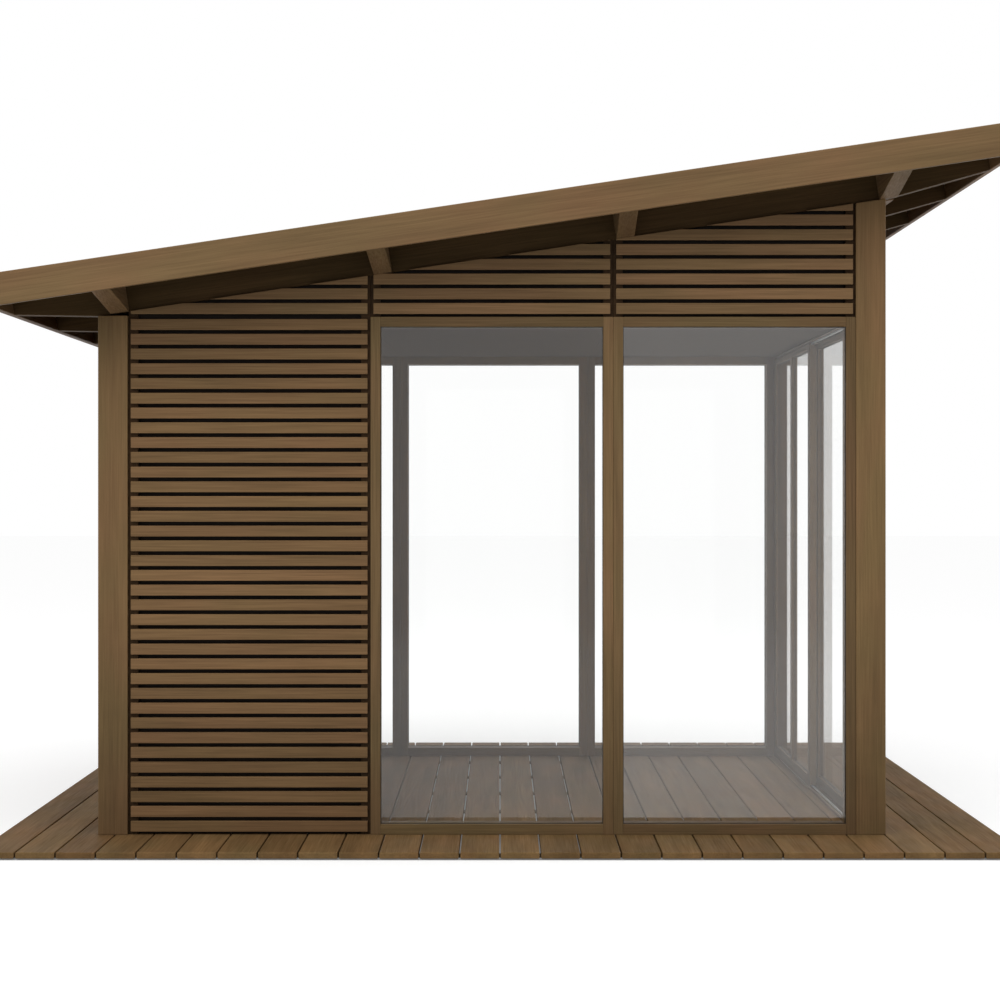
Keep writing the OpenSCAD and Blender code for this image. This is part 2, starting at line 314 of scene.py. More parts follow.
def foot_shade_and_dust_group() -> bpy.types.NodeTree:
    """Build the group that gives painted shade, darker towards the deck, and dust in soft spots.

    Returns:
        The group.
    """
    takes = {"Vector": "Vector", "Foot": "Float", "Reach": "Float"}
    group = new_group("foot_shade_and_dust", takes, {"FootShade": "Float", "Dust": "Float"})
    n = Nodes(group)
    source = n.add("NodeGroupInput").outputs
    height = n.add("ShaderNodeSeparateXYZ", {0: source["Vector"]}).outputs[2]
    # Painted shade: a ragged mask that is 1 at the deck and fades out upwards.
    above = n.maths("DIVIDE", n.maths("SUBTRACT", height, source["Foot"]), source["Reach"])
    ragged = n.maths("ADD", above, n.maths("MULTIPLY", n.noise(source["Vector"], 9.0, 3.0), 0.5))
    foot_shade = n.remap(ragged, 1.0, 0.0, *FOOT_SHADE_SPAN)
    dust = n.remap(n.noise(source["Vector"], 3.0, 4.0, 0.6), 0.0, 1.0, *DUST_SPAN)
    n.add("NodeGroupOutput", {"FootShade": foot_shade, "Dust": dust})
    return group


class Shop:
    """Makes each material once and hands it out again."""

    def __init__(self) -> None:
        """Build the shared node groups."""
        self.made: dict[str, bpy.types.Material] = {}
        self.figure = wood_figure_group()
        self.foot_shade_and_dust = foot_shade_and_dust_group()

    def fetch(self, name: str, make: Callable[[Nodes, bpy.types.Node], None]) -> bpy.types.Material:
        """Give a material, made on its first use.

        Args:
            name: The material's name.
            make: Fills the tree, given the nodes and the Principled BSDF.

        Returns:
            The material.
        """
        if name not in self.made:
            material = bpy.data.materials.new(name)
            material.use_nodes = True
            tree = material.node_tree
            make(Nodes(tree), tree.nodes["Principled BSDF"])
            self.made[name] = material
        return self.made[name]


SHOP = Shop()
TURNS = {
    Grain.X: (0.0, 0.0, 0.0),
    Grain.Y: (0.0, 0.0, -math.pi / 2),
    Grain.Z: (0.0, math.pi / 2, 0.0),
    Grain.SLOPE: (0.0, SITE.pitch, 0.0),
}


@dataclass(frozen=True)
class WoodFinish:
    """A timber finish: two hues that drift into each other, and how its surface takes light."""

    name: str
    warm: Colour
    cool: Colour
    contrast: float = 0.3
    board_spread: float = 0.16
    streaks: float = 0.28
    # How much lighter the painted highlight on eased edges is.
    edge_highlight: float = 0.12
    # How much the painted shade darkens the colour towards the deck.
    foot_shade: float = 0.15
    roughness: float = 0.55
    bump: float = 0.35
    sheen: float = 0.2

    def material(self, grain: Grain) -> bpy.types.Material:
        """Give this finish with its grain in one direction.

        Args:
            grain: The direction of the grain.

        Returns:
            The material.
        """
        return SHOP.fetch(f"{self.name}_{grain.value}", lambda n, shader: self._fill(n, shader, grain))

    def _fill(self, n: Nodes, shader: bpy.types.Node, grain: Grain) -> None:
        """Build the shader for one grain direction."""
        place = n.add("ShaderNodeTexCoord").outputs["Object"]
        turned = n.add("ShaderNodeMapping", {"Vector": place, "Rotation": TURNS[grain]}).outputs[0]
        board = n.add("ShaderNodeAttribute", attribute_name=BOARD_LAYER).outputs["Color"]
        marks = n.add("ShaderNodeSeparateColor", {0: board}).outputs
        inputs = {"Vector": turned, "Board": marks[0], "Shift": marks[1]}
        figure = n.add("ShaderNodeGroup", inputs, node_tree=SHOP.figure).outputs
        inputs = {"Vector": place, "Foot": SITE.deck_top, "Reach": FOOT_SHADE_REACH}
        foot_shade_and_dust = n.add("ShaderNodeGroup", inputs, node_tree=SHOP.foot_shade_and_dust).outputs
        patch = n.maths("MULTIPLY", figure["Patch"], PATCH_SHARE)
        drift = n.maths("ADD", patch, n.maths("MULTIPLY", marks[1], BOARD_SHARE))
        hue = n.blend(drift, self.warm, self.cool)
        level = n.remap(figure["Figure"], 1.0 - self.contrast, 1.0 + self.contrast)
        own = n.remap(marks[0], 1.0 - self.board_spread, 1.0 + self.board_spread)
        streak = n.remap(figure["Grain"], 1.0 - self.streaks, 1.0 + 0.5 * self.streaks)
        # Painted highlight: eased edges are drawn lighter, standing in for the light that they catch.
        edge = n.remap(marks[2], 1.0, 1.0 + self.edge_highlight)
        # Painted shade: the colour darkens towards the deck, standing in for the shade low on the walls.
        foot_shade_level = n.remap(foot_shade_and_dust["FootShade"], 1.0, 1.0 - self.foot_shade)
        total = n.maths("MULTIPLY", n.maths("MULTIPLY", level, own), n.maths("MULTIPLY", streak, edge))
        total = n.maths("MULTIPLY", total, foot_shade_level)
        scaled = n.add("ShaderNodeVectorMath", {0: hue, "Scale": total}, operation="SCALE")
        rough, smooth = self.roughness + GRAIN_ROUGH, self.roughness - GRAIN_SMOOTH
        rough = n.remap(figure["Grain"], rough, smooth)
        rough = n.maths("ADD", rough, n.maths("MULTIPLY", foot_shade_and_dust["Dust"], DUST_ROUGH))
        relief = n.maths("ADD", figure["Grain"], n.maths("MULTIPLY", figure["Figure"], 0.5))
        bump = n.add("ShaderNodeBump", {"Strength": self.bump, "Distance": WOOD_RELIEF, "Height": relief})
        surface = {"Base Color": scaled.outputs[0], "Roughness": rough, "Normal": bump.outputs[0]}
        n.fill(shader, {**surface, "IOR": WOOD_INDEX, "Specular IOR Level": self.sheen})


@dataclass(frozen=True)
class SheetFinish:
    """A plain sheet or metal finish with fine mottling."""

    name: str
    light: Colour
    dark: Colour
    mottle: float = 14.0
    fine: float = 260.0
    metallic: float = 0.0
    roughness: float = 0.6
    bump: float = 0.15
    sheen: float = 0.4

    def material(self) -> bpy.types.Material:
        """Give the finish's material."""
        return SHOP.fetch(self.name, self._fill)

    def _fill(self, n: Nodes, shader: bpy.types.Node) -> None:
        """Build the shader."""
        place = n.add("ShaderNodeTexCoord").outputs["Object"]
        broad = n.noise(place, self.mottle, 4.0, 0.6)
        fine = n.noise(place, self.fine, 2.0)
        share = n.maths("MULTIPLY", broad, BROAD_SHARE)
        share = n.maths("ADD", share, n.maths("MULTIPLY", fine, FINE_SHARE))
        hue = n.blend(n.remap(share, 0.0, 1.0, *TONE_SPAN), self.dark, self.light)
        rough = n.remap(share, self.roughness + MOTTLE_ROUGH, self.roughness - MOTTLE_ROUGH)
        bump = n.add("ShaderNodeBump", {"Strength": self.bump, "Distance": SHEET_RELIEF, "Height": fine})
        surface = {"Base Color": hue, "Roughness": rough, "Normal": bump.outputs[0]}
        n.fill(shader, {**surface, "Metallic": self.metallic, "Specular IOR Level": self.sheen})


@dataclass(frozen=True)
class GlassFinish:
    """Clear window glass that lets light through to what stands behind it."""

    name: str
    tint: Colour
    index: float = 1.46

    def material(self) -> bpy.types.Material:
        """Give the finish's material."""
        return SHOP.fetch(self.name, self._fill)

    def _fill(self, n: Nodes, shader: bpy.types.Node) -> None:
        """Build the shader, with a clear way through for shadow rays."""
        place = n.add("ShaderNodeTexCoord").outputs["Object"]
        smear = n.noise(n.stretch(place, SMEAR_STRETCH), 2.5, 4.0, 0.6)
        rough = n.remap(smear, 0.0, SMEAR_ROUGH, *SMEAR_SPAN)
        smeared = tuple(SMEAR_TINT * part for part in self.tint)
        hue = n.blend(n.remap(smear, 0.0, 1.0, *TONE_SPAN), self.tint, smeared)
        surface = {"Base Color": hue, "Roughness": rough}
        n.fill(shader, {**surface, "IOR": self.index, "Transmission Weight": 1.0})
        ray = n.add("ShaderNodeLightPath").outputs["Is Shadow Ray"]
        clear = n.add("ShaderNodeBsdfTransparent", {"Color": SHADOW_TINT})
        both = n.add("ShaderNodeMixShader", {0: ray, 1: shader.outputs[0], 2: clear.outputs[0]})
        n.fill(n.tree.nodes["Material Output"], {"Surface": both.outputs[0]})


@dataclass(frozen=True)
class Palette:
    """The finishes of the building."""

    slats: WoodFinish = WoodFinish(
        "slat_stain", srgb(124, 94, 64), srgb(119, 94, 62), contrast=0.14, board_spread=0.09, foot_shade=0.24
    )
    # Painted light: a lighter copy of the slat stain for the gable slats, lifting the shade that the roof
    # casts on them.
    lit_upper_slats: WoodFinish = WoodFinish(
        "upper_slat_painted_light", srgb(132, 101, 70), srgb(125, 101, 68),
        contrast=0.14, board_spread=0.09, foot_shade=0.0,
    )
    # Painted shade: the battens are drawn dark, standing in for the shade they lie in behind the slats.
    battens: WoodFinish = WoodFinish(
        "batten_painted_shade", srgb(66, 47, 30), srgb(58, 44, 28), contrast=0.14, sheen=0.1
    )
    posts: WoodFinish = WoodFinish(
        "post_stain", srgb(122, 93, 63), srgb(115, 94, 61), contrast=0.14, foot_shade=0.42, streaks=0.2
    )
    joinery: WoodFinish = WoodFinish(
        "joinery_stain", srgb(114, 88, 60), srgb(107, 88, 58), contrast=0.14, foot_shade=0.28
    )
    edging: WoodFinish = WoodFinish(
        "edging_stain", srgb(122, 91, 63), srgb(117, 94, 63), contrast=0.14, streaks=0.2
    )
    timber: WoodFinish = WoodFinish(
        "beam_stain", srgb(118, 92, 65), srgb(111, 90, 61), contrast=0.16, sheen=0.12
    )
    # Painted shade: the beam stain drawn darker for the rafters, whose sides stand in the roof's shade.
    rafters: WoodFinish = WoodFinish(
        "rafter_stain", srgb(80, 60, 38), srgb(74, 58, 36), contrast=0.16, sheen=0.05
    )
    # Painted shade: the roof boards are drawn dark, standing in for the shade under the eaves.
    soffit: WoodFinish = WoodFinish(
        "soffit_painted_shade", srgb(48, 35, 20), srgb(42, 33, 18), contrast=0.18, sheen=0.03
    )
    deck: WoodFinish = WoodFinish(
        "deck_oil", srgb(128, 97, 63), srgb(118, 95, 62), contrast=0.2, roughness=0.66, sheen=0.08
    )
    # Painted shade: a near-black skin on the lining, standing in for the shade seen through the gaps
    # between slats.
    dark: WoodFinish = WoodFinish(
        "lining_gap_shade", srgb(34, 22, 10), srgb(26, 18, 8), contrast=0.2, foot_shade=0.0
    )
    inner: WoodFinish = WoodFinish("inner_boards", srgb(120, 93, 65), srgb(110, 91, 62), contrast=0.18)
    ceiling: SheetFinish = SheetFinish(
        "ceiling_paint", srgb(102, 93, 85), srgb(95, 87, 79), mottle=3.0, sheen=0.0
    )
    membrane: SheetFinish = SheetFinish(
        "roof_membrane", srgb(64, 64, 62), srgb(48, 48, 47), mottle=5.0, fine=420.0, bump=0.4
    )
    seal: SheetFinish = SheetFinish("glazing_seal", srgb(34, 33, 31), srgb(22, 22, 21), mottle=40.0)
    alloy: SheetFinish = SheetFinish(
        "track_alloy", srgb(208, 208, 206), srgb(186, 186, 184), metallic=1.0, roughness=0.35
    )
    glass: GlassFinish = GlassFinish("window_glass", (0.997, 1.0, 0.998))
    coated_glass: GlassFinish = GlassFinish("coated_glass", (0.997, 1.0, 0.998), index=1.64)
    clear_glass: GlassFinish = GlassFinish("clear_glass", (0.997, 1.0, 0.998), index=1.2)


PALETTE = Palette()


# ---------------------------------------------------------------- joinery


def put(name: str, data: bpy.types.ID) -> bpy.types.Object:
    """Make an object of some data, and link it into the scene."""
    thing = bpy.data.objects.new(name, data)
    bpy.context.scene.collection.objects.link(thing)
    return thing


@dataclass
class Timber:
    """Collects the boards of one piece, and puts it in the place of its fixed nodes."""

    name: str
    slot: str
    nodes: tuple[str, ...]
    finish: WoodFinish | SheetFinish
    body: str = BUILDING
    seed: int = 1
    mesh: bmesh.types.BMesh = field(default_factory=bmesh.new)
    materials: list[bpy.types.Material] = field(default_factory=list)

    def __post_init__(self) -> None:
        """Seed the piece's own run of random numbers."""
        self.chance = random.Random(f"{self.name}-{self.seed}")

    def board(
        self,
        low: Sequence[float],
        high: Sequence[float],
        grain: Grain,
        place: Matrix = Matrix.Identity(4),
        ease: float = 0.002,
        under_roof: bool = False,
        finish: WoodFinish | SheetFinish | None = None,
    ) -> None:
        """Add a straight board with eased edges.

        Args:
            low: Its lowest corner, in the frame of place.
            high: Its highest corner, in the frame of place.
            grain: The direction of its grain.
            place: The frame that it is laid out in.
            ease: How far its edges are rounded.
            under_roof: Whether it is cut off along the rafters' underside.
            finish: Its finish, where that isn't the piece's own.
        """
        low, high = Vector(low), Vector(high)
        board = bmesh.new()
        size = Matrix.Diagonal((*(high - low), 1.0))
        bmesh.ops.create_cube(board, size=1.0, matrix=Matrix.Translation((low + high) / 2) @ size)
        self._add(board, grain, place, ease, under_roof, finish)

    def plank(
        self,
        outline: Sequence[Sequence[float]],
        sweep: Sequence[float],
        grain: Grain,
        place: Matrix,
        ease: float = 0.002,
    ) -> None:
        """Add a board with a cut outline.

        Args:
            outline: The corners of one face, in order.
            sweep: The way from that face to the other one.
            grain: The direction of its grain.
            place: The frame that it is laid out in.
            ease: How far its edges are rounded.
        """
        board = bmesh.new()
        face = board.faces.new([board.verts.new(corner) for corner in outline])
        swept = bmesh.ops.extrude_face_region(board, geom=[face])["geom"]
        corners = [part for part in swept if isinstance(part, bmesh.types.BMVert)]
        bmesh.ops.translate(board, vec=Vector(sweep), verts=corners)
        bmesh.ops.recalc_face_normals(board, faces=board.faces)
        self._add(board, grain, place, ease, False, None)

    def _add(
        self,
        board: bmesh.types.BMesh,
        grain: Grain,
        place: Matrix,
        ease: float,
        under_roof: bool,
        finish: WoodFinish | SheetFinish | None,
    ) -> None:
        """Cut, ease, mark and keep one board."""
        bmesh.ops.transform(board, matrix=place, verts=board.verts)
        if under_roof:
            geometry = [*board.verts, *board.edges, *board.faces]
            top = Vector((0, 0, SITE.rafter_z))
            cut = bmesh.ops.bisect_plane(
                board, geom=geometry, dist=1e-6, plane_co=top, plane_no=SITE.roof_normal, clear_outer=True
            )["geom_cut"]
            if not board.faces:
                board.free()
                return
            edges = [part for part in cut if isinstance(part, bmesh.types.BMEdge)]
            bmesh.ops.holes_fill(board, edges=edges)
        bmesh.ops.bevel(
            board, geom=list(board.edges), offset=ease, segments=2, profile=0.5,
            affect="EDGES", clamp_overlap=True, material=-1,
        )
        marks = board.loops.layers.float_color.new(BOARD_LAYER)
        tint, shift = self.chance.random(), self.chance.random()
        number = self._number(finish or self.finish, grain)
        turn = place.to_3x3().inverted()
        for face in board.faces:
            local = turn @ face.normal
            # Eased edge faces are flagged here, and the finish paints a highlight on them.
            edge_glint = 0.0 if max(abs(part) for part in local) > FLAT_FACE else 1.0
            face.material_index = number
            for loop in face.loops:
                loop[marks] = (tint, shift, edge_glint, 1.0)
        carrier = bpy.data.meshes.new("board")
        board.to_mesh(carrier)
        board.free()
        self.mesh.from_mesh(carrier)
        bpy.data.meshes.remove(carrier)

    def _number(self, finish: WoodFinish | SheetFinish, grain: Grain) -> int:
        """Give the slot number of a finish, and add it when it is new."""
        material = finish.material(grain) if isinstance(finish, WoodFinish) else finish.material()
        if material not in self.materials:
            self.materials.append(material)
        return self.materials.index(material)

    def place(self) -> bpy.types.Object:
        """Turn the boards into an object that rides on its body.

        Returns:
            The piece.
        """
        mesh = bpy.data.meshes.new(self.name)
        self.mesh.to_mesh(mesh)
        self.mesh.free()
        for material in self.materials:
            mesh.materials.append(material)
        piece = put(self.name, mesh)
        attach(piece, self.body)
        if self.nodes:
            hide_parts(*self.nodes)
        LOG.info("%s: %d faces", self.name, len(mesh.polygons))
        return piece


@dataclass
class Deck:
    """The boards that people walk on, and the bearers under them."""

    pitch: float = 0.1564
    joint: float = 0.0064
    bearers: int = 7
    bearer_w: float = 0.07

    def build(self) -> None:
        """Make the boards and the bearers."""
        low, high = map(Vector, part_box("deck_boards"))
        boards = Timber("deck_planks", "decking", ("deck_boards",), PALETTE.deck)
        count = round((high.x - low.x + self.joint) / self.pitch)
        for number in range(count):
            left = low.x + number * self.pitch
            right = left + self.pitch - self.joint
            boards.board((left, low.y, low.z), (right, high.y, high.z), Grain.Y, ease=0.003)
        boards.place()
        low, high = map(Vector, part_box("deck_bearers"))
        under = Timber("deck_packers", "decking", ("deck_bearers",), PALETTE.timber)
        step = (high.y - low.y - self.bearer_w) / (self.bearers - 1)
        for number in range(self.bearers):
            start = low.y + number * step
            end = start + self.bearer_w
            under.board((low.x, start, low.z), (high.x, end, high.z), Grain.X, ease=0.001)
        under.place()


@dataclass
class Posts:
    """The four corner posts."""

    nodes: tuple[str, ...] = ("post_front_low", "post_front_high", "post_back_low", "post_back_high")

    def build(self) -> None:
        """Make each post, cut off along the roof where it reaches it."""
        for seed, node in enumerate(self.nodes):
            low, high = map(Vector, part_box(node))
            post = Timber(f"{node}_planed", "posts", (node,), PALETTE.posts, seed=seed)
            reach = high + Vector((0, 0, SITE.post)) if "high" in node else high
            post.board(low, reach, Grain.Z, ease=0.003, under_roof="high" in node)
            post.place()


@dataclass
class SlatPanel:
    """Level slats on upright battens, between two uprights of a wall."""

    slat: float = 0.044
    gap: float = 0.016
    foot: float = 0.012
    thickness: float = 0.020
    end: float = 0.012
    recess: float = 0.004
    batten: float = 0.039
    batten_t: float = 0.026
    seat: float = 0.0004

    def lay(
        self, piece: Timber, wall: Wall, start: float, length: float, base: float, height: float
    ) -> None:
        """Add one panel to a piece.

        Args:
            piece: The piece that takes the boards.
            wall: The wall that the panel stands in.
            start: Where the panel begins along the wall.
            length: How long it is.
            base: Its lowest level above the deck.
            height: How high it reaches above that.
        """
        pitch = self.slat + self.gap
        across = Grain.Y if wall.grain is Grain.Y else Grain.X
        for number in range(math.ceil((height - self.foot) / pitch)):
            z = base + self.foot + number * pitch
            low = (start + self.end, self.recess, z)
            high = (start + length - self.end, self.recess + self.thickness, z + self.slat)
            piece.board(low, high, across, wall.place, under_roof=True)
        inner = self.recess + self.thickness
        for x in (start + self.seat, start + length - self.seat - self.batten):
            low = (x, inner, base)
            high = (x + self.batten, inner + self.batten_t, base + height)
            # The battens take the dark colour that paints their shade.
            piece.board(low, high, Grain.Z, wall.place, under_roof=True, finish=PALETTE.battens)


@dataclass
class Cladding:
    """The slatted parts of the walls, with their linings."""

    bays: int = 3
    side_bays: int = 2
    panel: SlatPanel = field(default_factory=SlatPanel)
    lining_in: float = 0.050
    lining_t: float = 0.036
    skin_t: float = 0.003
    board_h: float = 0.12

    def build(self) -> None:
        """Make the slats and the linings of every wall."""
        height = SITE.frame_top - SITE.deck_top
        rise = math.tan(SITE.pitch) * SITE.high_x + SITE.rafter_z - SITE.deck_top - height
        front, back, low_side, high_side = Wall.front(), Wall.back(), Wall.low_side(), Wall.high_side()
        bay = front.clear / self.bays
        self._slats("front_slat_panel", front, [(SITE.post, bay)], 0.0, height)
        sections = [(SITE.post + number * bay, bay) for number in range(self.bays)]
        self._slats("front_gable_slats", front, sections, height, rise)
        self._slats("back_gable_slats", back, sections, height, rise)
        side_bay = low_side.clear / self.side_bays
        for number in range(self.side_bays):
            start = SITE.post + number * side_bay
            self._slats(f"low_side_slat_panel_{number + 1}", low_side, [(start, side_bay)], 0.0, height)
        span = high_side.clear
        self._slats("high_side_slats", high_side, [(SITE.post, span)], height, rise)
        self._lining("front_lining", front, bay, 0.0, height)
        self._lining("front_gable_lining", front, front.clear, height, rise)
        self._lining("back_gable_lining", back, back.clear, height, rise)
        self._lining("low_side_lining", low_side, span, 0.0, height + SITE.post)
        self._lining("high_side_lining", high_side, span, height, rise)

    def _slats(
        self, node: str, wall: Wall, sections: Iterable[tuple[float, float]], base: float, height: float
    ) -> None:
        """Make one node's slats."""
        # Gable slats take the lighter copy of the stain: painted light against the roof's shade.
        finish = PALETTE.lit_upper_slats if base else PALETTE.slats
        piece = Timber(f"{node}_planed", "cladding_slats", (node,), finish)
        for start, length in sections:
            self.panel.lay(piece, wall, start, length, base, height)
        piece.place()

    def _lining(self, node: str, wall: Wall, length: float, base: float, height: float) -> None:
        """Make one node's lining: a near-black skin outside, which paints the shade seen through the slat
        gaps, and level boards inside.
        """
        piece = Timber(f"{node}_boards", "wall_lining", (node,), PALETTE.inner)
        skin = self.lining_in + self.skin_t
        low, high = (SITE.post, self.lining_in, base), (SITE.post + length, skin, base + height)
        # The outer skin is painted near-black as shade for the slat gaps.
        piece.board(low, high, wall.grain, wall.place, 0.0005, True, PALETTE.dark)
        for number in range(math.ceil(height / self.board_h)):
            z = base + number * self.board_h
            top = min(z + self.board_h, base + height)
            low, high = (SITE.post, skin, z), (SITE.post + length, self.lining_in + self.lining_t, top)
            piece.board(low, high, wall.grain, wall.place, 0.003, under_roof=True)
        piece.place()


@dataclass
class GlazedBay:
    """A fixed frame of two stiles and two rails, with a dark seal around its glass."""

    stile: float = 0.040
    sill: float = 0.043
    depth: float = 0.100
    recess: float = 0.004
    glass_in: float = 0.017
    glass_t: float = 0.008
    seal: float = 0.0025
    seal_t: float = 0.0015
    seat: float = 0.0004
    finish: GlassFinish = PALETTE.glass

    def build(self, wall: Wall, node: str, glass: str, start: float, length: float) -> None:
        """Make one frame and its seal, and finish its glass.

        Args:
            wall: The wall that the frame stands in.
            node: The frame's fixed node.
            glass: The glass's fixed node.
            start: Where its bay begins along the wall.
            length: How long the bay is.
        """
        height = SITE.frame_top - SITE.deck_top
        left, right = start + self.seat, start + length - self.seat
        near, far = self.recess, self.recess + self.depth
        frame_piece = Timber(f"{node}_planed", "joinery", (node,), PALETTE.joinery)
        for x in (left, right - self.stile):
            frame_piece.board((x, near, 0), (x + self.stile, far, height), Grain.Z, wall.place)
        for low, high in ((0.0, self.sill), (height - self.stile, height)):
            corner = (right - self.stile, far, high)
            frame_piece.board((left + self.stile, near, low), corner, wall.grain, wall.place)
        frame_piece.place()
        seal = Timber(f"{glass}_seal", "roof_membrane", (), PALETTE.seal)
        opening = (left + self.stile, right - self.stile, self.sill, height - self.stile)
        add_seal(seal, wall.place, opening, near + self.glass_in, self.glass_t, self.seal, self.seal_t)
        seal.place()
        dress_glass(glass, self.finish)


def add_seal(
    piece: Timber,
    place: Matrix,
    opening: tuple[float, float, float, float],
    glass_y: float,
    glass_t: float,
    width: float,
    thickness: float,
) -> None:
    """Run a seal around an opening, on both faces of its glass.

    Args:
        piece: The piece that takes the seal.
        place: The frame that the opening is given in.
        opening: Its left, right, bottom and top.
        glass_y: Where the outer face of the glass lies.
        glass_t: How thick the glass is.
        width: How wide the seal shows.
        thickness: How far the seal stands off the glass.
    """
    left, right, bottom, top = opening
    for y in (glass_y - thickness, glass_y + glass_t):
        for z in (bottom, top - width):
            piece.board((left, y, z), (right, y + thickness, z + width), Grain.X, place, 0.0008)
        for x in (left, right - width):
            low, high = (x, y, bottom + width), (x + width, y + thickness, top - width)
            piece.board(low, high, Grain.Z, place, 0.0008)


def dress_glass(node: str, finish: GlassFinish) -> None:
    """Give a fixed pane its glass finish.

    Args:
        node: The pane's fixed node.
        finish: The finish that it takes.
    """
    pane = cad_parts[node]
    pane.data.materials.clear()
    pane.data.materials.append(finish.material())


@dataclass
class GlazedWalls:
    """The glazed bays of the two gable walls."""

    bays: int = 3
    near: GlazedBay = field(default_factory=GlazedBay)
    coated: GlazedBay = field(default_factory=lambda: GlazedBay(finish=PALETTE.coated_glass))
    far: GlazedBay = field(default_factory=lambda: GlazedBay(finish=PALETTE.clear_glass))

    def build(self) -> None:
        """Make the front bays that have glass, and every back bay."""
        front, back = Wall.front(), Wall.back()
        bay = front.clear / self.bays
        for number, panes in ((1, self.near), (2, self.coated)):
            label = number + 1
            start = SITE.post + number * bay
            panes.build(front, f"front_frame_{label}", f"front_glass_{label}", start, bay)
        for number in range(self.bays):
            label = self.bays - number
            start = SITE.post + number * bay
            self.far.build(back, f"back_frame_{label}", f"back_glass_{label}", start, bay)


@dataclass
class SlidingDoor:
    """Sill, head and tracks, a fixed leaf inside and a sliding leaf that runs outside it."""

    stile: float = 0.060
    foot: float = 0.046
    top_rail: float = 0.026
    glass_t: float = 0.008
    groove: float = 0.018
    bottom_groove: float = 0.0023
    top_groove: float = 0.008
    seal: float = 0.0025
    seal_t: float = 0.001
    rib_h: float = 0.008
    rib_w: float = 0.006

    def build(self) -> None:
        """Make the fixed parts and both leaves."""
        for node in ("door_sill", "door_head"):
            low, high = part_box(node)
            piece = Timber(f"{node}_planed", "joinery", (node,), PALETTE.joinery)
            piece.board(low, high, Grain.Y, ease=0.003)
            piece.place()
        self._tracks()
        self._leaf("fixed_leaf", BUILDING, 2)
        self._leaf("sliding_leaf", LEAF, 1)

    def _tracks(self) -> None:
        """Make the four ribs that the leaves run on."""
        low, high = map(Vector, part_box("door_tracks"))
        piece = Timber("door_track_ribs", "door_tracks", ("door_tracks",), PALETTE.alloy)
        for leaf in ("fixed_leaf_frame", "sliding_leaf_frame"):
            leaf_low, leaf_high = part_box(leaf)
            left = (leaf_low[0] + leaf_high[0] - self.rib_w) / 2
            for z in (low.z, high.z - self.rib_h):
                right, top = left + self.rib_w, z + self.rib_h
                piece.board((left, low.y, z), (right, high.y, top), Grain.Y, ease=0.001)
        piece.place()

    def _leaf(self, name: str, body: str, lights: int) -> None:
        """Make one leaf: stiles with rails between them, and lips along its grooves."""
        low, high = map(Vector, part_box(f"{name}_frame"))
        depth, length = high.x - low.x, high.y - low.y
        bottom, top = low.z + self.bottom_groove, high.z - self.top_groove
        light = (length - (lights + 1) * self.stile) / lights
        piece = Timber(f"{name}_planed", "joinery", (f"{name}_frame",), PALETTE.joinery, body)
        for number in range(lights + 1):
            y = low.y + number * (self.stile + light)
            piece.board((low.x, y, bottom), (high.x, y + self.stile, top), Grain.Z)
        seal = Timber(f"{name}_seal", "roof_membrane", (), PALETTE.seal, body)
        glass_in = (depth - self.glass_t) / 2
        foot, head = low.z + self.foot, high.z - self.top_rail
        for number in range(lights):
            y = low.y + self.stile + number * (self.stile + light)
            piece.board((low.x, y, bottom), (high.x, y + light, foot), Grain.Y)
            piece.board((low.x, y, head), (high.x, y + light, top), Grain.Y)
            place = Matrix.Translation((high.x, y, 0)) @ Matrix.Rotation(math.pi / 2, 4, "Z")
            add_seal(seal, place, (0.0, light, foot, head), glass_in, self.glass_t, self.seal, self.seal_t)
        lip = (depth - self.groove) / 2
        for x in (low.x, high.x - lip):
            for start, end in ((low.z, bottom), (top, high.z)):
                piece.board((x, low.y, start), (x + lip, high.y, end), Grain.Y, ease=0.0008)
        piece.place()
        seal.place()
        dress_glass(f"{name}_glass", PALETTE.clear_glass)


@dataclass
class Ceiling:
    """Painted sheets with fine open joints, level across the room."""

    along: int = 2
    across: int = 3

    def build(self) -> None:
        """Make the sheets."""
        low, high = map(Vector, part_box("ceiling_panel"))
        piece = Timber("ceiling_sheets", "ceiling", ("ceiling_panel",), PALETTE.ceiling)
        width, depth = (high.x - low.x) / self.across, (high.y - low.y) / self.along
        for column in range(self.across):
            for row in range(self.along):
                corner = Vector((low.x + column * width, low.y + row * depth, low.z))
                piece.board(corner, corner + Vector((width, depth, high.z - low.z)), Grain.X, ease=0.0025)
        piece.place()


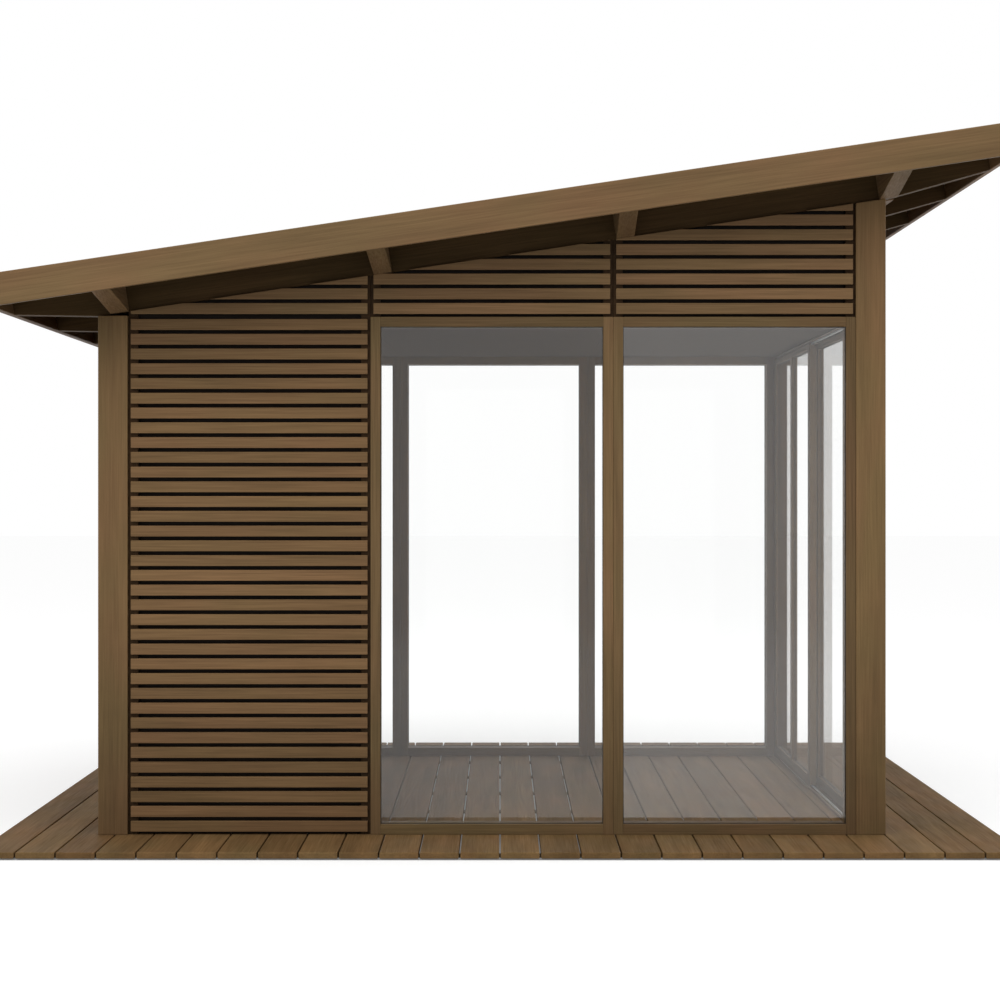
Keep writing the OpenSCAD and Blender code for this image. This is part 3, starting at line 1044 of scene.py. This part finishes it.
@dataclass
class Roof:
    """Rafters, cross beams, edge boards, roof boards and covering, laid out on the slope."""

    rafters: int = 4
    rafter_w: float = 0.074
    rafter_h: float = 0.160
    board_t: float = 0.018
    cover_t: float = 0.003
    lip: float = 0.002
    fascia_t: float = 0.025
    fascia_h: float = 0.127
    bays: int = 3
    soffit_w: float = 0.12
    sheets: int = 4
    lap_w: float = 0.04
    lap_t: float = 0.0015

    def __post_init__(self) -> None:
        """Work out the roof's own outline from the edge boards."""
        self.top = self.rafter_h + self.board_t + self.cover_t + self.lip
        self.foot = self.top - self.fascia_h
        low, high = map(Vector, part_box("fascia_front"))
        back = Vector(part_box("fascia_back")[1])
        slope = SITE.pitch
        half = ((high.x - low.x) - self.fascia_h * math.sin(slope)) / math.cos(slope) / 2
        self.middle = (self.foot + self.top) / 2 * math.tan(slope)
        self.start, self.end = self.middle - half, self.middle + half
        self.front, self.back = low.y, back.y

    def build(self) -> None:
        """Make every layer of the roof."""
        self._rafters()
        self._cross_beams()
        self._edges()
        self._layers()

    def _rafter_y(self) -> list[float]:
        """Give the rafters' centre lines."""
        first = SITE.front_y + SITE.post / 2
        step = (SITE.back_y - SITE.front_y - SITE.post) / (self.rafters - 1)
        return [first + number * step for number in range(self.rafters)]

    def _rafters(self) -> None:
        """Make the rafters, with tapered tails beyond both side walls."""
        start, end = self.start + self.fascia_t, self.end - self.fascia_t
        low, high = SITE.low_x / math.cos(SITE.pitch), SITE.high_x / math.cos(SITE.pitch)
        for number, y in enumerate(self._rafter_y(), 1):
            side = y - self.rafter_w / 2
            outline = [
                (start, side, self.foot), (low, side, 0), (high, side, 0),
                (end, side, self.foot), (end, side, self.rafter_h), (start, side, self.rafter_h),
            ]
            # The rafters take the darker copy of the beam stain, painted shade.
            piece = Timber(f"rafter_{number}_planed", "roof_timber", (f"rafter_{number}",), PALETTE.rafters)
            piece.plank(outline, (0, self.rafter_w, 0), Grain.SLOPE, SITE.roof)
            piece.place()

    def _cross_beams(self) -> None:
        """Make the cross beams between the rafters, and their tails beyond both gable walls."""
        piece = Timber("cross_beams_planed", "roof_timber", ("cross_beams",), PALETTE.timber)
        width = SITE.high_x - SITE.low_x
        outer = (width - self.rafter_w) / 2
        inner = (width - 2 * SITE.post) / self.bays / 2
        lines = self._rafter_y()
        half = self.rafter_w / 2
        for offset in (-outer, -inner, inner, outer):
            u = self.middle + (offset - half) / math.cos(SITE.pitch)
            for first, second in zip(lines, lines[1:]):
                low, high = (u, first + half, 0), (u + self.rafter_w, second - half, self.rafter_h)
                piece.board(low, high, Grain.Y, SITE.roof)
            tails = (
                (self.front + self.fascia_t, SITE.front_y, lines[0] - half),
                (self.back - self.fascia_t, SITE.back_y, lines[-1] + half),
            )
            for tip, wall, root in tails:
                outline = [
                    (u, tip, self.foot), (u, wall, 0), (u, root, 0),
                    (u, root, self.rafter_h), (u, tip, self.rafter_h),
                ]
                piece.plank(outline, (self.rafter_w, 0, 0), Grain.Y, SITE.roof)
        piece.place()

    def _edges(self) -> None:
        """Make the four edge boards."""
        inner_front, inner_back = self.front + self.fascia_t, self.back - self.fascia_t
        boards = {
            "fascia_front": ((self.start, self.front), (self.end, inner_front), Grain.SLOPE),
            "fascia_back": ((self.start, inner_back), (self.end, self.back), Grain.SLOPE),
            "fascia_low": ((self.start, inner_front), (self.start + self.fascia_t, inner_back), Grain.Y),
            "fascia_high": ((self.end - self.fascia_t, inner_front), (self.end, inner_back), Grain.Y),
        }
        for node, (low, high, grain) in boards.items():
            piece = Timber(f"{node}_planed", "edge_boards", (node,), PALETTE.edging)
            piece.board((*low, self.foot), (*high, self.top), grain, SITE.roof, ease=0.003)
            piece.place()

    def _layers(self) -> None:
        """Make the boards on the rafters, and the covering in lapped sheets."""
        start, end = self.start + self.fascia_t, self.end - self.fascia_t
        front, back = self.front + self.fascia_t, self.back - self.fascia_t
        # The roof boards take the dark soffit colour, painted shade under the eaves.
        boards = Timber("roof_boards_planed", "roof_boarding", ("roof_boards",), PALETTE.soffit)
        count = round((end - start) / self.soffit_w)
        width = (end - start) / count
        for number in range(count):
            u = start + number * width
            low, high = (u, front, self.rafter_h), (u + width, back, self.rafter_h + self.board_t)
            boards.board(low, high, Grain.Y, SITE.roof, ease=0.003)
        boards.place()
        cover = Timber("roof_membrane_sheets", "roof_membrane", ("roof_covering",), PALETTE.membrane)
        base = self.rafter_h + self.board_t
        depth = (back - front) / self.sheets
        for number in range(self.sheets):
            y = front + number * depth
            cover.board((start, y, base), (end, y + depth, base + self.cover_t), Grain.X, SITE.roof, 0.0005)
        for number in range(1, self.sheets):
            y = front + number * depth - self.lap_w / 2
            top = base + self.cover_t + self.lap_t
            low, high = (start, y, base + self.lap_t), (end, y + self.lap_w, top)
            cover.board(low, high, Grain.X, SITE.roof, 0.0005)
        cover.place()


# ---------------------------------------------------------------- studio


@dataclass
class Studio:
    """The floor, the light and the camera."""

    eye: float = 1.397
    distance: float = 9.026
    lens: float = 80.0
    tilt_shift: float = -0.009
    sky: float = 0.85
    sky_low: float = 0.62
    floor_size: float = 120.0
    glow: float = 0.48
    # The floor's glow under the deck, where a shadow is painted.
    glow_in_painted_shadow: float = 0.12
    floor_plain: float = 0.5
    floor_seen: float = 0.62
    lamp_aim: float = 1.4

    def build(self) -> None:
        """Make the studio around the building."""
        self._world()
        self._floor()
        self._lamps()
        self._camera()
        bpy.context.scene.view_settings.view_transform = "Standard"

    def _seen(self, n: Nodes) -> Socket:
        """Give a value that is 1 for rays that see the background."""
        rays = n.add("ShaderNodeLightPath").outputs
        glossy = n.maths("MAXIMUM", rays["Is Glossy Ray"], rays["Is Transmission Ray"])
        return n.maths("MAXIMUM", rays["Is Camera Ray"], glossy)

    def _world(self) -> None:
        """Make a white background, and a plainer sky that lights the building."""
        world = bpy.data.worlds.new("studio")
        bpy.context.scene.world = world
        world.use_nodes = True
        n = Nodes(world.node_tree)
        place = n.add("ShaderNodeTexCoord").outputs["Generated"]
        height = n.add("ShaderNodeSeparateXYZ", {0: place}).outputs[2]
        sky = n.remap(height, self.sky_low, self.sky, 0.0, 0.8)
        strength = n.maths("MAXIMUM", sky, self._seen(n))
        n.fill(n.tree.nodes["Background"], {"Color": (1, 1, 1, 1), "Strength": strength})

    def _floor(self) -> None:
        """Make a pale floor that shows the building's shadow, and a painted shadow under the deck."""
        mesh = bmesh.new()
        bmesh.ops.create_grid(mesh, x_segments=1, y_segments=1, size=self.floor_size / 2)
        data = bpy.data.meshes.new("studio_floor")
        mesh.to_mesh(data)
        mesh.free()
        floor = put("studio_floor", data)
        material = bpy.data.materials.new("studio_floor")
        material.use_nodes = True
        n = Nodes(material.node_tree)
        place = n.add("ShaderNodeSeparateXYZ", {0: n.add("ShaderNodeTexCoord").outputs["Object"]}).outputs
        # Painted shadow: the floor's glow drops under the deck's footprint, standing in for the contact
        # shadow there.
        low, high = map(Vector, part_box("deck_boards"))
        across = n.maths("LESS_THAN", n.maths("ABSOLUTE", place[0]), high.x)
        along = n.maths("LESS_THAN", n.maths("ABSOLUTE", place[1]), high.y)
        near = n.remap(n.maths("MULTIPLY", across, along), self.glow, self.glow_in_painted_shadow)
        plain = n.add("ShaderNodeBsdfDiffuse", {"Color": (*[self.floor_plain] * 3, 1)})
        half = n.add("ShaderNodeBsdfDiffuse", {"Color": (*[self.floor_seen] * 3, 1)})
        glow = n.add("ShaderNodeEmission", {"Color": (1, 1, 1, 1), "Strength": near})
        pale = n.add("ShaderNodeAddShader", {0: half.outputs[0], 1: glow.outputs[0]})
        both = n.add("ShaderNodeMixShader", {0: self._seen(n), 1: plain.outputs[0], 2: pale.outputs[0]})
        n.fill(n.tree.nodes["Material Output"], {"Surface": both.outputs[0]})
        n.tree.nodes.remove(n.tree.nodes["Principled BSDF"])
        data.materials.append(material)

    def _lamps(self) -> None:
        """Hang two large soft lamps, in front of the building and above it."""
        lamps = (
            ("front_lamp", (-4.5, -11.0, 7.4), 8.0, 490.0),
            ("top_lamp", (2.0, -2.0, 10.0), 9.0, 260.0),
        )
        aim = Vector((0, 0, self.lamp_aim))
        for name, place, size, power in lamps:
            data = bpy.data.lights.new(name, "AREA")
            data.size = size
            data.energy = power
            lamp = put(name, data)
            lamp.visible_glossy = False
            lamp.location = place
            lamp.rotation_euler = (aim - Vector(place)).to_track_quat("-Z", "Y").to_euler()

    def _camera(self) -> None:
        """Stand the camera level, square to the front wall."""
        data = bpy.data.cameras.new("camera")
        data.lens = self.lens
        data.sensor_width = 36.0
        data.shift_y = self.tilt_shift
        camera = put("camera", data)
        camera.location = (0, SITE.front_y - self.distance, SITE.deck_top + self.eye)
        camera.rotation_euler = (math.pi / 2, 0, 0)
        bpy.context.scene.camera = camera


def main() -> None:
    """Build the pavilion and its studio."""
    logging.basicConfig(level=logging.INFO, format="%(name)s: %(message)s")
    for part in (Deck(), Posts(), Cladding(), GlazedWalls(), SlidingDoor(), Ceiling(), Roof(), Studio()):
        part.build()
        LOG.info("%s built", type(part).__name__)


if __name__ == "__main__":
    main()
